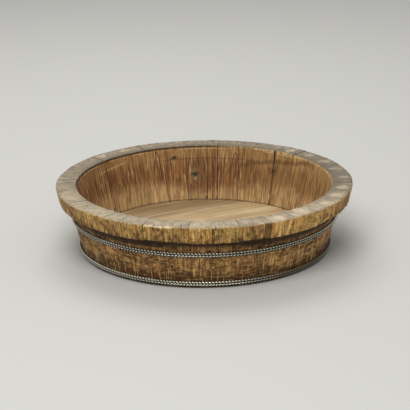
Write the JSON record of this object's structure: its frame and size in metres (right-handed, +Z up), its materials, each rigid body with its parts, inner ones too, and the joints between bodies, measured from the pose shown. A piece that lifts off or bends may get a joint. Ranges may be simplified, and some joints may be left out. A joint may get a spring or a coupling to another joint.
{
  "type": "washing tub",
  "caption": "Low round wooden washing tub of coopered staves with a thick rim, a boarded floor set in a groove and twisted wire hoops.",
  "frame": {"origin": "on the ground at the tub's axis, at the foot of the staves", "axes": "+Z up along the tub's axis, +Y away from the picture's camera, +X to its right"},
  "size_m": [0.7592, 0.7592, 0.174],
  "materials": {
    "stave_wood": "bare, worn and weathered",
    "floor_wood": "bare, washed smooth",
    "hoop_wire": "dull galvanised",
    "pin_bamboo": "bare bamboo"
  },
  "bodies": {
    "root": {"stave_01": "stave_wood", "stave_02": "stave_wood", "stave_03": "stave_wood", "stave_04": "stave_wood", "stave_05": "stave_wood", "stave_06": "stave_wood", "stave_07": "stave_wood", "stave_08": "stave_wood", "stave_09": "stave_wood", "stave_10": "stave_wood", "stave_11": "stave_wood", "stave_12": "stave_wood", "stave_13": "stave_wood", "stave_14": "stave_wood", "stave_15": "stave_wood", "stave_16": "stave_wood", "stave_17": "stave_wood", "stave_18": "stave_wood", "closing_stave": "stave_wood", "stave_20": "stave_wood", "stave_21": "stave_wood", "stave_22": "stave_wood", "stave_23": "stave_wood", "stave_24": "stave_wood", "stave_25": "stave_wood", "stave_26": "stave_wood", "stave_27": "stave_wood", "stave_28": "stave_wood", "stave_29": "stave_wood", "stave_30": "stave_wood", "stave_31": "stave_wood", "stave_32": "stave_wood", "stave_33": "stave_wood", "floor_board_1": "floor_wood", "floor_board_2": "floor_wood", "floor_board_3": "floor_wood", "floor_board_4": "floor_wood", "floor_board_5": "floor_wood", "upper_hoop_top_rope": "hoop_wire", "upper_hoop_low_rope": "hoop_wire", "lower_hoop_top_rope": "hoop_wire", "lower_hoop_low_rope": "hoop_wire", "stave_pins": "pin_bamboo", "floor_pins": "pin_bamboo"}
  },
  "joints": []
}
